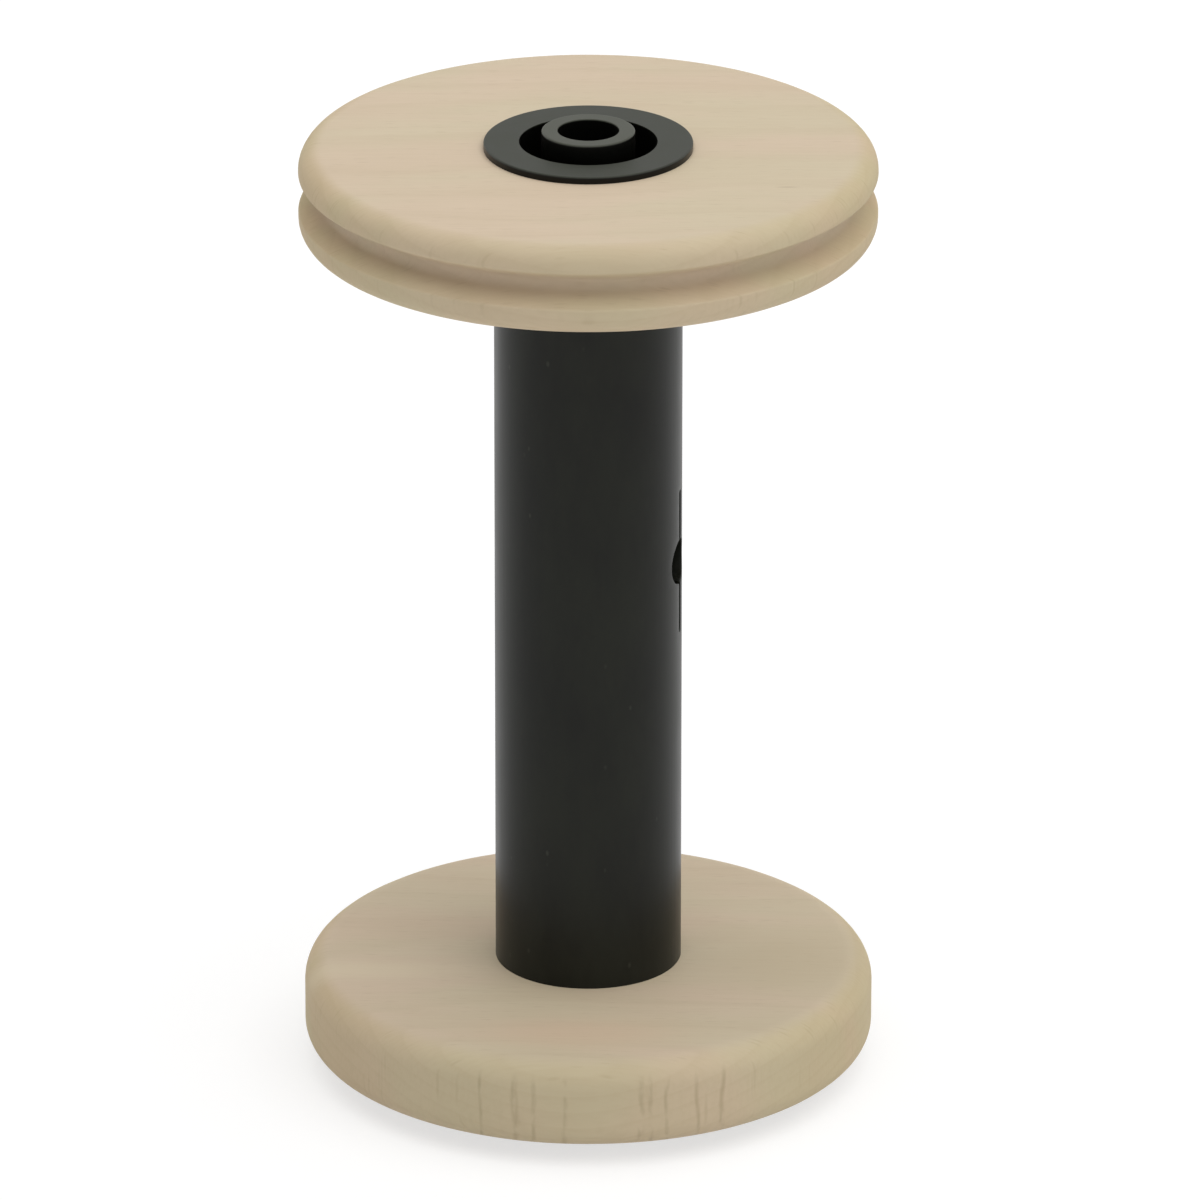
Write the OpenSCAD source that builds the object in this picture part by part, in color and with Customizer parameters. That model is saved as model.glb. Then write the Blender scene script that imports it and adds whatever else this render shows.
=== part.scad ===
/* [Tube] */
// Outside diameter of the tube that the yarn is wound on
tube_d = 32; // [30:0.5:34]
// Wall thickness of the tube
tube_wall = 2; // [1.5:0.1:2.2]
// Length of the tube, which is also the distance between the outer wood faces
tube_length = 163.6; // [120:0.2:220]

/* [Flanges] */
// Diameter of both flanges
flange_d = 98; // [80:1:130]
// Thickness of both flanges
flange_thick = 15.6; // [15.6:0.1:20]
// Round-over of the drive flange where its outer face meets the rim
drive_outer_round = 4; // [1:0.1:4.1]
// Round-over of the drive flange on the yarn side
drive_inner_round = 3.6; // [1:0.1:3.7]
// Round-over of the end flange where its outer face meets the rim
end_outer_round = 4; // [1:0.1:8]
// Round-over of the end flange on the yarn side
end_inner_round = 5; // [1:0.1:8]

/* [Drive band groove] */
// Depth of the groove below the rim of the drive flange
groove_depth = 4.6; // [3.4:0.1:4.8]
// Radius of the round bottom of the groove
groove_bottom_r = 1.6; // [1:0.1:1.6]
// Lean of each side of the groove away from the plane of the flange
groove_lean = 23; // [15:1:23]
// Radius that softens both lips of the groove
lip_r = 1.3; // [0.4:0.1:1.3]
// Distance from the outer wood face to the middle of the groove
groove_below_face = 8; // [8:0.1:8.1]

/* [Bushes] */
// Diameter of the bush disc that lies on the wood face
disc_d = 35.4; // [34:0.2:44]
// Thickness of the bush disc
disc_thick = 1.2; // [0.8:0.1:2.5]
// Diameter of the hub that carries the spindle bore
hub_d = 15.8; // [14:0.2:19]
// Height of the hub above the face of the disc
hub_proud = 2; // [1:0.1:5]
// Diameter of the bore that runs on the flyer spindle
bore_d = 10.4; // [6:0.2:12]
// Outside diameter of the well between the hub and the sleeve
well_d = 23.4; // [22:0.2:25]
// Length of the sleeve that is pressed into the tube
sleeve_length = 14; // [8:0.5:25]
// Thickness of the web that joins the hub to the sleeve at the inner end
web_thick = 2.4; // [1.5:0.1:4]
// Rounding of the edges of the disc, the hub and the bore
bush_edge = 0.3; // [0.1:0.1:0.3]

/* [Leader hole] */
// Diameter of the hole in the tube wall that the leader yarn is tied through
leader_hole_d = 8; // [4:0.5:12]
// Height of the middle of the leader hole above the outer face of the end flange
leader_hole_height = 89.8; // [50:0.2:110]
// Length of the slit that catches the end of the yarn, through the middle of the hole
slit_length = 26; // [15:1:40]
// Width of the slit
slit_width = 1; // [0.6:0.1:2]

/* [Hidden] */
$fn = 120;

tube_r = tube_d / 2;
tube_bore_r = tube_r - tube_wall;
rim_r = flange_d / 2;
past = 1;
// Overlap where a round of the groove runs into a straight side, so that they meet in one edge
overlap = 0.001;

// Heights above the hub end that the bobbin stands on
bush_proud = disc_thick + hub_proud;
end_face_z = bush_proud;
drive_face_z = end_face_z + tube_length;
leader_hole_z = end_face_z + leader_hole_height;

// Height of each lip arc's centre from the middle of the groove, where the arc is
// tangent to the rim and to the groove's leaning side
lip_z = (groove_bottom_r + lip_r + (groove_depth - groove_bottom_r - lip_r) * sin(groove_lean))
    / cos(groove_lean);
// Where the leaning side leaves the round bottom, and where it reaches the lip arc
side_start = [rim_r - groove_depth + groove_bottom_r * (1 - sin(groove_lean)),
              groove_bottom_r * cos(groove_lean)];
side_end = [rim_r - lip_r * (1 - sin(groove_lean)), lip_z - lip_r * cos(groove_lean)];

wood = [0.82, 0.75, 0.64];
tube_plastic = [0.16, 0.165, 0.145];
bush_plastic = [0.12, 0.12, 0.11];

// What a round-over of radius r takes off a section's corner at [x, z] that points towards out
module round_over(corner, r, out) {
    difference() {
        translate(corner) square(2 * r, center = true);
        translate(corner - r * out) circle(r);
    }
}

// Half section of a flange, with its outer face at the top
module flange_section(outer_round, inner_round) {
    difference() {
        translate([tube_r, 0]) square([rim_r - tube_r, flange_thick]);
        round_over([rim_r, flange_thick], outer_round, [1, 1]);
        round_over([rim_r, 0], inner_round, [1, -1]);
    }
}

// Section of the drive band groove, about its middle
module groove_section() {
    translate([rim_r - groove_depth + groove_bottom_r, 0]) circle(groove_bottom_r + overlap);
    difference() {
        polygon([
            side_start, side_end, [rim_r, lip_z], [rim_r + past, lip_z],
            [rim_r + past, -lip_z], [rim_r, -lip_z],
            [side_end.x, -side_end.y], [side_start.x, -side_start.y]
        ]);
        for (side = [-1, 1]) translate([rim_r - lip_r, side * lip_z]) circle(lip_r + overlap);
    }
}

// Half section of a bush, with the wood face at height 0 and the hub end at the top
module bush_section() {
    hub_r = hub_d / 2;
    bore_r = bore_d / 2;
    well_r = well_d / 2;
    disc_r = disc_d / 2;
    difference() {
        translate([bore_r, -sleeve_length]) square([hub_r - bore_r, sleeve_length + bush_proud]);
        round_over([hub_r, bush_proud], bush_edge, [1, 1]);
        round_over([bore_r, bush_proud], bush_edge, [-1, 1]);
    }
    translate([bore_r, -sleeve_length]) square([well_r - bore_r, web_thick]);
    translate([well_r, -sleeve_length]) square([tube_bore_r - well_r, sleeve_length]);
    difference() {
        translate([well_r, 0]) square([disc_r - well_r, disc_thick]);
        round_over([disc_r, disc_thick], bush_edge, [1, 1]);
    }
}

module bush() {
    color(bush_plastic) rotate_extrude() bush_section();
}

// Outline of the leader hole and its slit, drawn with the tube's axis along Y
module leader_hole_outline() {
    straight = slit_length - slit_width;
    circle(d = leader_hole_d);
    square([slit_width, straight], center = true);
    for (end = [-1, 1]) translate([0, end * straight / 2]) circle(d = slit_width);
}

// Plastic tube that runs through both flanges and holds them apart
module core_tube() {
    color(tube_plastic) difference() {
        translate([0, 0, end_face_z]) cylinder(r = tube_r, h = tube_length);
        translate([0, 0, end_face_z - past]) cylinder(r = tube_bore_r, h = tube_length + 2 * past);
        translate([0, 0, leader_hole_z]) rotate([90, 0, 90])
            linear_extrude(tube_r + past) leader_hole_outline();
    }
}

// Wooden disc with the groove for the drive band
module drive_flange() {
    color(wood) translate([0, 0, drive_face_z - flange_thick]) rotate_extrude() difference() {
        flange_section(drive_outer_round, drive_inner_round);
        translate([0, flange_thick - groove_below_face]) groove_section();
    }
}

// Plain wooden disc at the other end
module end_flange() {
    color(wood) translate([0, 0, end_face_z + flange_thick]) mirror([0, 0, 1])
        rotate_extrude() flange_section(end_outer_round, end_inner_round);
}

// Bush in the end of the tube that the drive flange is on
module drive_end_bush() {
    translate([0, 0, drive_face_z]) bush();
}

// The same bush, turned over, in the end that the bobbin stands on
module far_end_bush() {
    translate([0, 0, end_face_z]) mirror([0, 0, 1]) bush();
}

core_tube();
drive_flange();
end_flange();
drive_end_bush();
far_end_bush();
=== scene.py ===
import bmesh
import bpy
import math
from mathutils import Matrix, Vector
from mathutils.geometry import delaunay_2d_cdt


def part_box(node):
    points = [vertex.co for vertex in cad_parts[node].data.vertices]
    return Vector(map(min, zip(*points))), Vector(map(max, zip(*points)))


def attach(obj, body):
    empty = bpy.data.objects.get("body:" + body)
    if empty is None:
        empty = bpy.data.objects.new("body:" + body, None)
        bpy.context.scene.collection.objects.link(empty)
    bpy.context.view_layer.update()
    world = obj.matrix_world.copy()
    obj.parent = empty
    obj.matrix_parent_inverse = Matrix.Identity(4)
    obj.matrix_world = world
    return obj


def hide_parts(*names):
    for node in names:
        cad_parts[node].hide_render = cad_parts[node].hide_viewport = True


MM = 0.001

# Camera: the photograph's view of the bobbin, in its 1200 pixel frame
PHOTO_SIDE = 1200
PHOTO_AXIS_X = 588.3
SENSOR = 36.0
VIEW_TURN = math.radians(12.3)
VIEW_RISE = math.radians(22.3)
VIEW_DISTANCE = 2.25
AIM_HEIGHT = 84.4 * MM
PIXELS_PER_METRE = 5850.0


def add_camera():
    data = bpy.data.cameras.new("studio camera")
    data.sensor_width = SENSOR
    data.lens = PIXELS_PER_METRE * VIEW_DISTANCE / PHOTO_SIDE * SENSOR
    data.shift_x = (PHOTO_SIDE / 2 - PHOTO_AXIS_X) / PHOTO_SIDE
    data.clip_end = 50.0
    camera = bpy.data.objects.new("studio camera", data)
    towards = Vector((
        math.sin(VIEW_TURN) * math.cos(VIEW_RISE),
        -math.cos(VIEW_TURN) * math.cos(VIEW_RISE),
        math.sin(VIEW_RISE),
    ))
    camera.location = Vector((0, 0, AIM_HEIGHT)) + VIEW_DISTANCE * towards
    camera.rotation_euler = towards.to_track_quat("Z", "Y").to_euler()
    bpy.context.scene.collection.objects.link(camera)
    bpy.context.scene.camera = camera


add_camera()

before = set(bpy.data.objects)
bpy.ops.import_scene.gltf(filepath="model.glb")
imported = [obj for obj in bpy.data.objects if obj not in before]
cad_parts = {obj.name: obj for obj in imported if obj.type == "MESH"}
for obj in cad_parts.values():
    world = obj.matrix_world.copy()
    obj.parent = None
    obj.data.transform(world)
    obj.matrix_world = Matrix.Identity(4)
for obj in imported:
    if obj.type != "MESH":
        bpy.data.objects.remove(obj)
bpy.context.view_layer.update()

# Places from the frame
tube_low, tube_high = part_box("core_tube")
drive_low, drive_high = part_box("drive_flange")
end_low, end_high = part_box("end_flange")
DISC_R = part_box("drive_end_bush")[1].x
TUBE_R = tube_high.x

# The turned wood is uneven by this much, and half of it may stand out past the rim
UNEVENNESS = 0.08 * MM
RIM_R = drive_high.x - UNEVENNESS / 2

# Tube
TUBE_WALL = 2.0 * MM
LEADER_HOLE_R = 4.0 * MM
LEADER_HOLE_Z = tube_low.z + 89.8 * MM
SLIT_HALF_LENGTH = 13.0 * MM
SLIT_HALF_WIDTH = 0.5 * MM
HOLE_EDGE_ROUND = 0.25 * MM

# Flanges
DRIVE_OUTER_ROUND = 3.8 * MM
DRIVE_INNER_ROUND = 3.8 * MM
END_OUTER_ROUND = 4.0 * MM
END_INNER_ROUND = 4.6 * MM

# Drive band groove
GROOVE_DEPTH = 4.2 * MM
GROOVE_BOTTOM_R = 1.6 * MM
GROOVE_LEAN = math.radians(28)
LIP_R = 0.5 * MM
GROOVE_Z = drive_high.z - 7.45 * MM

# Bushes
HUB_R = 7.9 * MM
HUB_PROUD = 2.0 * MM
BORE_R = 5.2 * MM
WELL_R = 11.7 * MM
DISC_THICK = 1.2 * MM
SLEEVE_LENGTH = 14.0 * MM
WEB_THICK = 2.4 * MM
BUSH_EDGE = 0.3 * MM
BORE_EDGE = 0.15 * MM

# Grain of the boards that the flanges were cut from, turned from +X
DRIVE_GRAIN_TURN = math.radians(12.0)
END_GRAIN_TURN = math.radians(10.0)


# Shader and geometry trees

class Wire:
    """A value's socket in a node tree. Arithmetic on it adds Math nodes."""

    def __init__(self, tree, socket):
        self.tree = tree
        self.socket = socket

    def math(self, operation, *values, clamp=False):
        node = self.tree.nodes.new("ShaderNodeMath")
        node.operation = operation
        node.use_clamp = clamp
        for socket, value in zip(node.inputs, values):
            feed(self.tree, socket, value)
        return Wire(self.tree, node.outputs[0])

    def __add__(self, other):
        return self.math("ADD", self, other)

    __radd__ = __add__

    def __sub__(self, other):
        return self.math("SUBTRACT", self, other)

    def __rsub__(self, other):
        return self.math("SUBTRACT", other, self)

    def __mul__(self, other):
        return self.math("MULTIPLY", self, other)

    __rmul__ = __mul__

    def __truediv__(self, other):
        return self.math("DIVIDE", self, other)

    def __rtruediv__(self, other):
        return self.math("DIVIDE", other, self)

    def __pow__(self, other):
        return self.math("POWER", self, other)

    def clamped(self):
        return self.math("ADD", self, 0.0, clamp=True)


def feed(tree, socket, value):
    if isinstance(value, Wire):
        tree.links.new(value.socket, socket)
    else:
        socket.default_value = value


class Graph:
    """A node tree, built by one method for every kind of node."""

    def __init__(self, tree):
        self.tree = tree

    def node(self, kind, settings=None, inputs=None):
        """Adds a node, applies its settings, then feeds its sockets by name or place."""
        made = self.tree.nodes.new(kind)
        for name, value in (settings or {}).items():
            if name == "stops":
                set_stops(made.color_ramp, value)
            else:
                setattr(made, name, value)
        for name, value in (inputs or {}).items():
            feed(self.tree, made.inputs[name], value)
        return made

    def out(self, kind, settings=None, inputs=None, output=0):
        return Wire(self.tree, self.node(kind, settings, inputs).outputs[output])


def set_stops(ramp, stops):
    while len(ramp.elements) < len(stops):
        ramp.elements.new(1.0)
    for element, (place, level) in zip(ramp.elements, stops):
        element.position = place
        element.color = (level, level, level, 1.0)


def srgb(red, green, blue):
    """A colour as it looks, from 0 to 255, in the linear values that a shader takes."""
    def linear(value):
        value = value / 255
        return value / 12.92 if value <= 0.04045 else ((value + 0.055) / 1.055) ** 2.4
    return (linear(red), linear(green), linear(blue), 1.0)


class Finish(Graph):
    """A material with one Principled shader, and the patterns that feed it."""

    def __init__(self, name, **constants):
        self.material = bpy.data.materials.new(name)
        self.material.use_nodes = True
        super().__init__(self.material.node_tree)
        self.shader = self.tree.nodes["Principled BSDF"]
        for name, value in constants.items():
            self.shader.inputs[name.replace("_", " ")].default_value = value
        self.place = Wire(self.tree, self.node("ShaderNodeTexCoord").outputs["Object"])

    def cells(self, size, centre=(0, 0, 0), turn=0.0):
        """Object coordinates counted in cells of this size, turned with the grain."""
        return self.out("ShaderNodeMapping", {"vector_type": "TEXTURE"}, {
            "Vector": self.place, "Location": centre, "Rotation": (0, 0, turn), "Scale": size})

    def noise(self, vector, detail=2.0, roughness=0.5):
        return self.out("ShaderNodeTexNoise", None, {
            "Vector": vector, "Scale": 1.0, "Detail": detail, "Roughness": roughness})

    def spots(self, vector):
        """Distance from the nearest of a field of random points, and that point's random level."""
        node = self.node("ShaderNodeTexVoronoi", {"feature": "F1"}, {"Vector": vector, "Scale": 1.0})
        level = self.out("ShaderNodeSeparateColor", None, {"Color": Wire(self.tree, node.outputs["Color"])})
        return Wire(self.tree, node.outputs["Distance"]), level

    def blob(self, centre, size, turn, soft):
        """1 in the middle of an egg of these half sizes and 0 outside it; soft is the share that fades."""
        cells = self.cells(size, centre, turn)
        reach = self.out("ShaderNodeVectorMath", {"operation": "LENGTH"}, {0: cells}, output=1)
        return self.step(reach, 1.0, 1.0 - soft)

    def ramp(self, value, stops):
        return self.out("ShaderNodeValToRGB", {"stops": stops}, {"Fac": value})

    def step(self, value, low, high):
        """0 below low and 1 above high, with a smooth rise between; low may be above high."""
        return self.out("ShaderNodeMapRange", {"interpolation_type": "SMOOTHSTEP"}, {
            "Value": value, "From Min": low, "From Max": high})

    def mix(self, factor, first, second, blend="MIX"):
        node = self.node("ShaderNodeMix", {"data_type": "RGBA", "blend_type": blend})
        feed(self.tree, node.inputs[0], factor)
        feed(self.tree, node.inputs[6], first)
        feed(self.tree, node.inputs[7], second)
        return Wire(self.tree, node.outputs[2])

    def axes(self, vector):
        node = self.node("ShaderNodeSeparateXYZ", None, {"Vector": vector})
        return [Wire(self.tree, socket) for socket in node.outputs]

    def bump(self, height, distance, strength):
        return self.out("ShaderNodeBump", None, {
            "Height": height, "Distance": distance, "Strength": strength})

    def wear(self, **links):
        for name, value in links.items():
            feed(self.tree, self.shader.inputs[name.replace("_", " ")], value)
        return self.material


# Finishes

def turned_beech(name, grain_turn, board_middle, shift):
    """Pale flat-sawn beech: the grain runs across the disc, and the rays stand upright in it."""
    wood = Finish(name, Specular_IOR_Level=0.3)
    middle = Vector((0, 0, board_middle))
    centre = middle + Vector(shift)

    # Slow drift of tone along the board, pinkish to yellowish, and lighter to darker
    drift = wood.noise(wood.cells((0.05, 0.016, 0.03), centre, grain_turn), detail=2.0)
    cloud = wood.noise(wood.cells((0.03, 0.012, 0.02), centre * 2, grain_turn), detail=3.0)
    colour = wood.mix(wood.step(drift, 0.36, 0.64), srgb(210, 191, 167), srgb(206, 192, 165))
    colour = wood.mix(wood.step(cloud, 0.35, 0.65) * 0.16, colour, srgb(196, 178, 150))

    # Growth rings: shells round the heart of the tree, which lay below the board
    wander = wood.noise(wood.cells((0.07, 0.03, 0.05), centre, grain_turn), detail=1.0)
    along, across, depth = wood.axes(wood.cells((1, 1, 1), middle, grain_turn))
    heart_depth = 0.085
    ring_width = 0.0026
    radius = (across * across + (depth + heart_depth) * (depth + heart_depth)) ** 0.5
    rings = (radius + wander * 0.006) / ring_width
    late_wood = wood.ramp(rings.math("FRACT", rings), [(0.0, 0.0), (0.6, 0.15), (0.9, 1.0), (1.0, 0.0)])
    colour = wood.mix(late_wood * 0.14, colour, srgb(188, 168, 138))

    # Fibre: fine streaks along the grain
    fibre = wood.noise(wood.cells((0.012, 0.0004, 0.0012), centre, grain_turn), detail=3.0, roughness=0.6)
    colour = wood.mix(wood.step(fibre, 0.35, 0.75) * 0.13, colour, srgb(186, 166, 137))

    # Rays: short dashes on the faces, upright streaks on the sides that run with the grain
    near, level = wood.spots(wood.cells((0.0042, 0.0006, 0.011), centre, grain_turn))
    rays = wood.step(near, 0.38, 0.10) * wood.step(level, 0.3, 1.0)
    colour = wood.mix(rays * 0.16, colour, srgb(160, 138, 108))

    # The rim is yellower, and its end grain duller
    out = (across * across + along * along) ** 0.5
    rim = wood.step(out, RIM_R - 4.2 * MM, RIM_R - 1.2 * MM)
    facing = along / (out + 0.0001)
    end_grain = rim * wood.step(facing * facing, 0.25, 0.95)
    colour = wood.mix(rim * 0.7, colour, wood.mix(1.0, colour, srgb(252, 252, 240), "MULTIPLY"))
    colour = wood.mix(end_grain, colour, wood.mix(1.0, colour, srgb(248, 246, 240), "MULTIPLY"))

    rough = 0.58 + fibre * 0.12 + end_grain * 0.08
    relief = fibre * 0.6 + rays * -0.5 + late_wood * 0.25
    wood.wear(Base_Color=colour, Roughness=rough, Normal=wood.bump(relief, 0.00003, 0.5))
    return wood, colour


def drive_flange_beech():
    """The flange's beech, with the small brown dash in its face."""
    wood, colour = turned_beech("turned beech, drive flange", DRIVE_GRAIN_TURN,
                                (drive_low.z + drive_high.z) / 2, (0.013, 0.002, 0.0))
    dash = wood.blob((36.6 * MM, -11.4 * MM, drive_high.z), (2.9 * MM, 0.42 * MM, 2 * MM), VIEW_TURN, 0.8)
    return wood.wear(Base_Color=wood.mix(dash * 0.28, colour, srgb(150, 126, 98)))


# Upright streaks in the side of the end flange that faces the camera: how far they stand to
# the right of the view's middle, and half their width
SIDE_STREAKS = (
    (-18.2 * MM, 0.5 * MM),
    (-12.5 * MM, 0.9 * MM),
    (-9.3 * MM, 0.7 * MM),
    (-4.1 * MM, 0.8 * MM),
    (9.0 * MM, 0.9 * MM),
    (10.6 * MM, 0.6 * MM),
    (13.4 * MM, 0.6 * MM),
    (18.6 * MM, 0.7 * MM),
    (23.0 * MM, 0.6 * MM),
)


def end_flange_beech():
    """The flange's beech: a light band and a pink one in its face, and upright streaks in its side."""
    wood, colour = turned_beech("turned beech, end flange", END_GRAIN_TURN,
                                (end_low.z + end_high.z) / 2, (-0.021, 0.005, 0.0))
    light = wood.blob((-36 * MM, -16 * MM, end_high.z), (30 * MM, 6 * MM, 6 * MM), VIEW_TURN, 0.9)
    pink = wood.blob((6 * MM, -34 * MM, end_high.z), (26 * MM, 9 * MM, 5 * MM), VIEW_TURN, 0.9)
    # Painted shade: a darker patch to the right of the tube, where the tube's soft shadow falls
    tube_shadow = wood.blob((36 * MM, 4 * MM, end_high.z), (26 * MM, 22 * MM, 6 * MM), VIEW_TURN, 0.9)
    colour = wood.mix(light * 0.6, colour, srgb(216, 202, 174))
    colour = wood.mix(pink * 0.5, colour, srgb(211, 184, 158))
    colour = wood.mix(tube_shadow * 0.5, colour, srgb(190, 174, 145))
    sideways, away, height = wood.axes(wood.cells((1, 1, 1), (0, 0, 0), VIEW_TURN))
    waver = wood.noise(wood.cells((0.004, 0.004, 0.009)), detail=2.0)
    streaks = 0.0
    for place, width in SIDE_STREAKS:
        gap = sideways - place + (waver - 0.5) * 0.0016
        gap = gap.math("ABSOLUTE", gap)
        streaks = streaks + wood.step(gap, width, 0.0)
    patchy = wood.step(wood.noise(wood.cells((0.0016, 0.0016, 0.005)), detail=2.0), 0.36, 0.6)
    facing_camera = wood.step(away, -38 * MM, -42 * MM)
    below_round = wood.step(height, end_high.z - 1.5 * MM, end_high.z - 4.5 * MM)
    streaks = streaks.clamped() * patchy * facing_camera * below_round
    return wood.wear(Base_Color=wood.mix(streaks * 0.34, colour, srgb(150, 130, 96)))


def charcoal_pipe():
    """Extruded black pipe: satin, with faint cloudy patches and fine lines along it."""
    pipe = Finish("charcoal pipe", Specular_IOR_Level=0.2)
    clouds = pipe.noise(pipe.cells((0.011, 0.011, 0.026)), detail=4.0, roughness=0.62)
    lines = pipe.noise(pipe.cells((0.0006, 0.0006, 0.05)), detail=2.0)
    near, level = pipe.spots(pipe.cells((0.0035, 0.0035, 0.006)))
    specks = pipe.step(near, 0.12, 0.04) * pipe.step(level, 0.55, 0.95)
    tone = pipe.step(clouds, 0.3, 0.7)
    colour = pipe.mix(tone, srgb(17, 18, 13), srgb(26, 28, 21))
    colour = pipe.mix(specks * 0.3, colour, srgb(70, 72, 62))
    rough = 0.31 + tone * 0.06 + lines * 0.06
    relief = pipe.bump(lines * 0.5 + clouds, 0.00002, 0.5)
    return pipe.wear(Base_Color=colour, Roughness=rough, Normal=relief)


def moulded_black(face, outwards):
    """Moulded black plastic: matt disc, lighter hub end, and a glossier surface elsewhere, painted near
    black as shade inside the well and the bore, on the hub's sides and on the disc's rim.
    """
    plastic = Finish("moulded black plastic", Specular_IOR_Level=0.2)
    clouds = plastic.noise(plastic.cells((0.006, 0.006, 0.006)), detail=3.0)
    pebble = plastic.noise(plastic.cells((0.0004, 0.0004, 0.0004)), detail=2.0)
    x, y, z = plastic.axes(plastic.place)
    out = (x * x + y * y) ** 0.5
    above = (z - face) * outwards
    colour = plastic.mix(clouds, srgb(34, 36, 28), srgb(46, 49, 38))
    hub_top = DISC_THICK + HUB_PROUD
    # The hub's end face is painted lighter than the rest
    hub_end = plastic.step(above, hub_top - 0.35 * MM, hub_top - 0.1 * MM)
    colour = plastic.mix(hub_end * 0.5, colour, srgb(84, 86, 76))
    disc_face = plastic.step(above, DISC_THICK - 0.25 * MM, DISC_THICK - 0.1 * MM)
    disc_face = disc_face * plastic.step(out, WELL_R - 0.1 * MM, WELL_R)
    # Painted shade: all but the hub end and the disc face is painted near black, for the shade inside the
    # well and the bore, on the hub's sides and under the disc's rim
    shown = (hub_end + disc_face).clamped()
    colour = plastic.mix(shown, srgb(6, 6, 4), colour)
    rough = 0.30 + shown * (0.12 + clouds * 0.12)
    return plastic.wear(Base_Color=colour, Roughness=rough, Normal=plastic.bump(pebble, 0.00001, 0.6))


# Turning and rolling

ROUND = "round"
# Beside each rounded corner a point this far off holds the flat next to it flat
FLANGE_GUARD = 0.35 * MM
BUSH_GUARD = 0.1 * MM
CREASE = math.radians(35)


def section_mesh(name, corners, guard):
    """The closed outline of a turned piece: corners are (radius, height, round-over)."""
    points = []
    count = len(corners)
    for i, (x, z, r) in enumerate(corners):
        here = Vector((x, z))
        before = Vector(corners[i - 1][:2])
        after = Vector(corners[(i + 1) % count][:2])
        if r == 0:
            points.append((here, 0.0))
            continue
        back = (before - here).normalized()
        on = (after - here).normalized()
        reach = r / math.tan(back.angle(on) / 2) + guard
        if (before - here).length > reach + guard:
            points.append((here + back * reach, 0.0))
        points.append((here, r))
        if (after - here).length > reach + guard:
            points.append((here + on * reach, 0.0))
    mesh = bpy.data.meshes.new(name)
    edges = [(i, (i + 1) % len(points)) for i in range(len(points))]
    mesh.from_pydata([(p.x, 0, p.y) for p, _ in points], edges, [])
    radii = mesh.attributes.new(ROUND, "FLOAT", "POINT")
    for item, (_, r) in zip(radii.data, points):
        item.value = r
    return mesh


def geometry_tree(name, sockets):
    """An empty geometry tree whose named inputs come after the geometry."""
    tree = bpy.data.node_groups.new(name, "GeometryNodeTree")
    tree.interface.new_socket("Geometry", in_out="INPUT", socket_type="NodeSocketGeometry")
    for label, kind in sockets:
        tree.interface.new_socket(label, in_out="INPUT", socket_type=kind)
    tree.interface.new_socket("Geometry", in_out="OUTPUT", socket_type="NodeSocketGeometry")
    graph = Graph(tree)
    source = graph.node("NodeGroupInput")
    given = {socket.name: Wire(tree, socket) for socket in source.outputs if socket.name}
    return graph, given


def finish_tree(graph, given, shape, crease):
    """Smooth shading broken at sharp edges, real geometry, and the material."""
    angle = graph.out("GeometryNodeInputMeshEdgeAngle")
    sharp = graph.out("FunctionNodeCompare", {"operation": "GREATER_THAN"}, {"A": angle, "B": crease})
    shape = graph.out("GeometryNodeSetShadeSmooth", {"domain": "FACE"}, {
        "Geometry": shape, "Shade Smooth": True})
    shape = graph.out("GeometryNodeSetShadeSmooth", {"domain": "EDGE"}, {
        "Geometry": shape, "Selection": sharp, "Shade Smooth": False})
    shape = graph.out("GeometryNodeRealizeInstances", None, {"Geometry": shape})
    shape = graph.out("GeometryNodeSetMaterial", None, {"Geometry": shape, "Material": given["Material"]})
    graph.node("NodeGroupOutput", None, {"Geometry": shape})


def lathe_tree():
    """Turns a section round the Z axis, after rounding its corners."""
    graph, given = geometry_tree("turned on a lathe", [
        ("Steps Round", "NodeSocketInt"), ("Corner Steps", "NodeSocketInt"),
        ("Unevenness", "NodeSocketFloat"), ("Material", "NodeSocketMaterial")])
    outline = graph.out("GeometryNodeMeshToCurve", None, {"Mesh": given["Geometry"]})
    radius = graph.out("GeometryNodeInputNamedAttribute", {"data_type": "FLOAT"}, {"Name": ROUND})
    outline = graph.out("GeometryNodeFilletCurve", {"mode": "POLY"}, {
        "Curve": outline, "Count": given["Corner Steps"], "Radius": radius, "Limit Radius": True})
    # A swept profile lies flat, out from the path and down, so the section is laid over to match
    spindle = 1.0 * MM
    place = graph.node("ShaderNodeSeparateXYZ", None, {"Vector": graph.out("GeometryNodeInputPosition")})
    x, _, z = [Wire(graph.tree, socket) for socket in place.outputs]
    laid = graph.out("ShaderNodeCombineXYZ", None, {"X": x - spindle, "Y": z * -1.0, "Z": 0.0})
    outline = graph.out("GeometryNodeSetPosition", None, {"Geometry": outline, "Position": laid})
    path = graph.out("GeometryNodeCurvePrimitiveCircle", None, {
        "Resolution": given["Steps Round"], "Radius": spindle})
    shape = graph.out("GeometryNodeCurveToMesh", None, {"Curve": path, "Profile Curve": outline})
    # Slow unevenness left by the tool and the sanding
    swell = graph.out("ShaderNodeTexNoise", None, {"Scale": 70.0, "Detail": 1.0})
    normal = graph.out("GeometryNodeInputNormal")
    push = graph.out("ShaderNodeVectorMath", {"operation": "SCALE"}, {
        0: normal, "Scale": (swell - 0.5) * given["Unevenness"]})
    shape = graph.out("GeometryNodeSetPosition", None, {"Geometry": shape, "Offset": push})
    finish_tree(graph, given, shape, CREASE)
    return graph.tree


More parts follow.
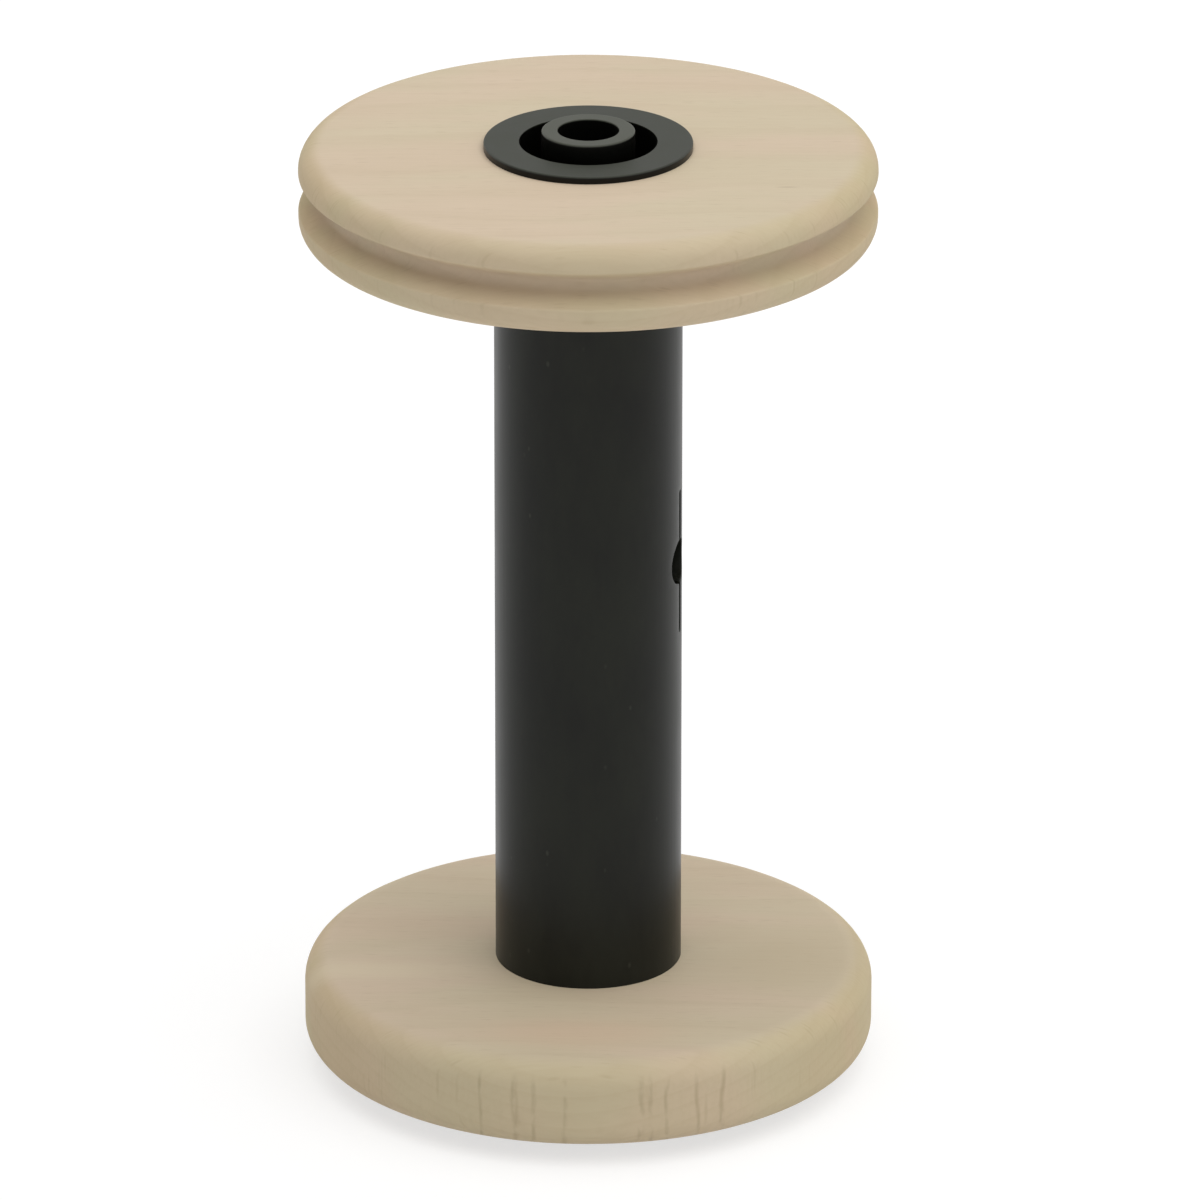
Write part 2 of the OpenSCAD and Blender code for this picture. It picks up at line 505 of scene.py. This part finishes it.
def roll_tree():
    """Rolls a flat sheet into a tube: X goes round it, Y is depth below the skin, Z is height."""
    graph, given = geometry_tree("rolled into a tube", [
        ("Radius", "NodeSocketFloat"), ("Material", "NodeSocketMaterial")])
    place = graph.node("ShaderNodeSeparateXYZ", None, {"Vector": graph.out("GeometryNodeInputPosition")})
    x, y, z = [Wire(graph.tree, socket) for socket in place.outputs]
    turn = x / given["Radius"]
    reach = given["Radius"] - y
    rolled = graph.out("ShaderNodeCombineXYZ", None, {
        "X": turn.math("COSINE", turn) * reach, "Y": turn.math("SINE", turn) * reach, "Z": z})
    shape = graph.out("GeometryNodeSetPosition", None, {"Geometry": given["Geometry"], "Position": rolled})
    shape = graph.out("GeometryNodeMergeByDistance", None, {"Geometry": shape, "Distance": 0.000005})
    finish_tree(graph, given, shape, CREASE)
    return graph.tree


def made_by(tree, name, mesh, **values):
    """The plain mesh that a geometry tree makes of mesh, as an object in its place."""
    piece = bpy.data.objects.new(name, mesh)
    bpy.context.scene.collection.objects.link(piece)
    modifier = piece.modifiers.new("shape", "NODES")
    modifier.node_group = tree
    for item in tree.interface.items_tree:
        key = item.name.replace(" ", "_").lower()
        if item.in_out == "INPUT" and key in values:
            modifier[item.identifier] = values[key]
    plain = bpy.data.meshes.new_from_object(piece.evaluated_get(bpy.context.evaluated_depsgraph_get()))
    plain.name = name
    piece.modifiers.clear()
    piece.data = plain
    bpy.data.meshes.remove(mesh)
    return piece


def fit_piece(piece, node):
    """The piece stands for its CAD node and rides with the bobbin."""
    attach(piece, "root")
    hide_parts(node)


# Flanges

def drive_flange_corners():
    """The two straight sides of the groove would meet below its round bottom."""
    apex = RIM_R - GROOVE_DEPTH + GROOVE_BOTTOM_R - GROOVE_BOTTOM_R / math.sin(GROOVE_LEAN)
    mouth = (RIM_R - apex) * math.tan(GROOVE_LEAN)
    low, high = drive_low.z, drive_high.z
    return [
        (TUBE_R, low, 0), (TUBE_R, high, 0), (RIM_R, high, DRIVE_OUTER_ROUND),
        (RIM_R, GROOVE_Z + mouth, LIP_R), (apex, GROOVE_Z, GROOVE_BOTTOM_R),
        (RIM_R, GROOVE_Z - mouth, LIP_R), (RIM_R, low, DRIVE_INNER_ROUND),
    ]


def end_flange_corners():
    low, high = end_low.z, end_high.z
    return [
        (TUBE_R, low, 0), (TUBE_R, high, 0),
        (RIM_R, high, END_INNER_ROUND), (RIM_R, low, END_OUTER_ROUND),
    ]


def bush_corners(face, outwards):
    """The bush's outline from the wood face; outwards is 1 at the top end and -1 at the other."""
    disc = face + outwards * DISC_THICK
    hub = disc + outwards * HUB_PROUD
    inner = face - outwards * SLEEVE_LENGTH
    web = inner + outwards * WEB_THICK
    corners = [
        (BORE_R, inner, 0), (BORE_R, hub, BORE_EDGE), (HUB_R, hub, BUSH_EDGE), (HUB_R, web, BUSH_EDGE),
        (WELL_R, web, BUSH_EDGE), (WELL_R, disc, 0), (DISC_R, disc, BUSH_EDGE), (DISC_R, face, 0),
        (TUBE_R - TUBE_WALL, face, 0), (TUBE_R - TUBE_WALL, inner, 0),
    ]
    return corners if outwards > 0 else corners[::-1]


# Tube

TUBE_STEPS = 144
# Places across the flat sheet, where the steps round the tube fall
SHEET_PLACES = [(i / TUBE_STEPS - 0.5) * 2 * math.pi * TUBE_R for i in range(TUBE_STEPS + 1)]


def hole_outline(grow, steps=10):
    """Half of the leader hole's edge, from the slit's lower end to its upper end, on the +Y side.

    grow moves the edge away from the opening.
    """
    hole = LEADER_HOLE_R + grow
    slit = SLIT_HALF_WIDTH + grow
    straight = SLIT_HALF_LENGTH - SLIT_HALF_WIDTH
    corner = math.asin(slit / hole)
    half = []
    for i in range(steps // 2 + 1):
        t = i / (steps // 2) * math.pi / 2
        half.append((slit * math.sin(t), -straight - slit * math.cos(t)))
    reach = straight - hole * math.cos(corner)
    for i in range(1, steps):
        half.append((slit, -straight + reach * i / steps))
    for i in range(2 * steps + 1):
        t = -math.pi / 2 + corner + (math.pi - 2 * corner) * i / (2 * steps)
        half.append((hole * math.cos(t), hole * math.sin(t)))
    for i in range(1, steps):
        half.append((slit, straight - reach + reach * i / steps))
    for i in range(steps // 2 + 1):
        t = i / (steps // 2) * math.pi / 2
        half.append((slit * math.cos(t), straight + slit * math.sin(t)))
    return half


def hole_loop(grow, depth):
    """The closed edge of the leader hole as sheet points, this deep below the skin."""
    half = hole_outline(grow)
    other = [(-y, z) for y, z in reversed(half[1:-1])]
    radius = TUBE_R - depth
    return [(TUBE_R * math.asin(y / radius), depth, LEADER_HOLE_Z + z) for y, z in half + other]


def inside(point, loop):
    """Whether a sheet point lies inside a closed loop, by counting crossings."""
    x, z = point
    found = False
    for (ax, _, az), (bx, _, bz) in zip(loop, loop[1:] + loop[:1]):
        if (az > z) != (bz > z) and x < ax + (z - az) / (bz - az) * (bx - ax):
            found = not found
    return found


def skin(loop, depth, tall=3.0 * MM, clear=0.5 * MM):
    """One skin of the sheet, as points and triangles, with the loop cut out of it."""
    rows = round((tube_high.z - tube_low.z) / tall)
    points = [Vector((x, z)) for x, _, z in loop]
    wider = [
        (x + math.copysign(clear, x), y, z + math.copysign(clear, z - LEADER_HOLE_Z))
        for x, y, z in loop
    ]
    for x in SHEET_PLACES:
        for j in range(rows + 1):
            z = tube_low.z + (tube_high.z - tube_low.z) * j / rows
            if not inside((x, z), wider):
                points.append(Vector((x, z)))
    edges = [(i, (i + 1) % len(loop)) for i in range(len(loop))]
    flat, _, faces = delaunay_2d_cdt(points, edges, [], 0, 1e-7)[:3]
    kept = []
    for face in faces:
        middle = sum((flat[i] for i in face), Vector((0, 0))) / len(face)
        if not inside(middle, loop):
            kept.append(tuple(face))
    return [(p.x, depth, p.y) for p in flat], kept


def tube_sheet():
    """The pipe's wall laid flat: two skins, the rounded hole edge between them, and the two ends."""
    points = []
    faces = []

    def add(new_points, new_faces):
        start = len(points)
        points.extend(new_points)
        faces.extend(tuple(start + i for i in face) for face in new_faces)

    rounding = 5
    loops = []
    for i in range(rounding + 1):
        t = i / rounding * math.pi / 2
        loops.append(hole_loop(HOLE_EDGE_ROUND * (1 - math.sin(t)), HOLE_EDGE_ROUND * (1 - math.cos(t))))
    loops.append(hole_loop(0.0, TUBE_WALL))
    outer_points, outer_faces = skin(loops[0], 0.0)
    inner_points, inner_faces = skin(loops[-1], TUBE_WALL)
    add(outer_points, outer_faces)
    add(inner_points, [face[::-1] for face in inner_faces])
    for above, below in zip(loops, loops[1:]):
        n = len(above)
        add(above + below, [(i, (i + 1) % n, n + (i + 1) % n, n + i) for i in range(n)])
    n = len(SHEET_PLACES)
    for z in (tube_low.z, tube_high.z):
        ring = [(x, 0.0, z) for x in SHEET_PLACES] + [(x, TUBE_WALL, z) for x in SHEET_PLACES]
        add(ring, [(i, i + 1, n + i + 1, n + i) for i in range(n - 1)])
    mesh = bpy.data.meshes.new("sheet")
    mesh.from_pydata(points, [], faces)
    return mesh


def turn_faces_out(piece):
    """Faces of a closed piece all point outwards."""
    work = bmesh.new()
    work.from_mesh(piece.data)
    bmesh.ops.recalc_face_normals(work, faces=work.faces)
    work.to_mesh(piece.data)
    work.free()


# The bobbin

lathe = lathe_tree()
roller = roll_tree()

beech_drive = drive_flange_beech()
beech_end = end_flange_beech()
black_pipe = charcoal_pipe()
drive_end_black = moulded_black(drive_high.z, 1)
far_end_black = moulded_black(end_low.z, -1)



def turned_flange(name, corners, material):
    return made_by(lathe, name, section_mesh("section", corners, FLANGE_GUARD),
                   steps_round=320, corner_steps=10, unevenness=UNEVENNESS, material=material)


def moulded_bush(name, corners, material):
    return made_by(lathe, name, section_mesh("section", corners, BUSH_GUARD),
                   steps_round=160, corner_steps=4, unevenness=0.0, material=material)


drive_flange = turned_flange("turned_drive_flange", drive_flange_corners(), beech_drive)
end_flange = turned_flange("turned_end_flange", end_flange_corners(), beech_end)
drive_end_bush = moulded_bush("moulded_drive_end_bush", bush_corners(drive_high.z, 1), drive_end_black)
far_end_bush = moulded_bush("moulded_far_end_bush", bush_corners(end_low.z, -1), far_end_black)
core_tube = made_by(roller, "rolled_core_tube", tube_sheet(), radius=TUBE_R, material=black_pipe)

for piece, node, slot in (
    (core_tube, "core_tube", "tube_plastic"),
    (drive_flange, "drive_flange", "turned_wood"),
    (end_flange, "end_flange", "turned_wood"),
    (drive_end_bush, "drive_end_bush", "bush_plastic"),
    (far_end_bush, "far_end_bush", "bush_plastic"),
):
    turn_faces_out(piece)
    fit_piece(piece, node)


# Studio: a white floor, even light from all round, and soft lamps

AMBIENT = 0.3
FLOOR_WHITE = 0.88
FLOOR_SHADE = 0.4
FLOOR_GLOW = 0.66
# Turn to the right of the camera, rise above the floor, strength, and spread of each lamp
LAMPS = {
    "overhead lamp": (60, 80, 1.9, 80),
    "right lamp": (60, 25, 0.3, 60),
    "right back lamp": (130, 20, 0.2, 50),
    "left back lamp": (-130, 20, 0.3, 50),
}


def seen_directly(graph):
    """1 for rays from the camera, in a mirror or through glass."""
    rays = graph.node("ShaderNodeLightPath")
    camera, glossy, through = [Wire(graph.tree, rays.outputs[name]) for name in (
        "Is Camera Ray", "Is Glossy Ray", "Is Transmission Ray")]
    return (camera + glossy + through).clamped()


def add_surroundings():
    world = bpy.data.worlds.new("white surroundings")
    world.use_nodes = True
    graph = Graph(world.node_tree)
    background = world.node_tree.nodes["Background"]
    background.inputs["Color"].default_value = (1, 1, 1, 1)
    feed(graph.tree, background.inputs["Strength"], seen_directly(graph) * (1 - AMBIENT) + AMBIENT)
    bpy.context.scene.world = world


def add_lamps():
    for name, (turn, rise, strength, spread) in LAMPS.items():
        lamp = bpy.data.lights.new(name, "SUN")
        lamp.energy = strength
        lamp.angle = math.radians(spread)
        lamp_object = bpy.data.objects.new(name, lamp)
        aside = VIEW_TURN + math.radians(turn)
        up = math.radians(rise)
        towards = Vector((math.sin(aside) * math.cos(up), -math.cos(aside) * math.cos(up), math.sin(up)))
        lamp_object.rotation_euler = towards.to_track_quat("Z", "Y").to_euler()
        bpy.context.scene.collection.objects.link(lamp_object)


def add_floor():
    """White paper: what is seen of it glows a little, so that it is white but keeps the shadow."""
    finish = Finish("white paper floor", Specular_IOR_Level=0.0, Roughness=1.0,
                    Emission_Strength=FLOOR_GLOW)
    shown = seen_directly(finish)
    white = (FLOOR_WHITE, FLOOR_WHITE, FLOOR_WHITE, 1)
    shade = (FLOOR_SHADE, FLOOR_SHADE, FLOOR_SHADE, 1)
    glow = finish.mix(shown, (0, 0, 0, 1), (1, 1, 1, 1))
    finish.wear(Base_Color=finish.mix(shown, white, shade), Emission_Color=glow)
    half = 6.0
    mesh = bpy.data.meshes.new("floor")
    corners = [(-half, -half, 0), (half, -half, 0), (half, half, 0), (-half, half, 0)]
    mesh.from_pydata(corners, [], [(0, 1, 2, 3)])
    mesh.materials.append(finish.material)
    floor = bpy.data.objects.new("floor", mesh)
    bpy.context.scene.collection.objects.link(floor)


add_surroundings()
add_lamps()
add_floor()
bpy.context.scene.view_settings.view_transform = "Standard"
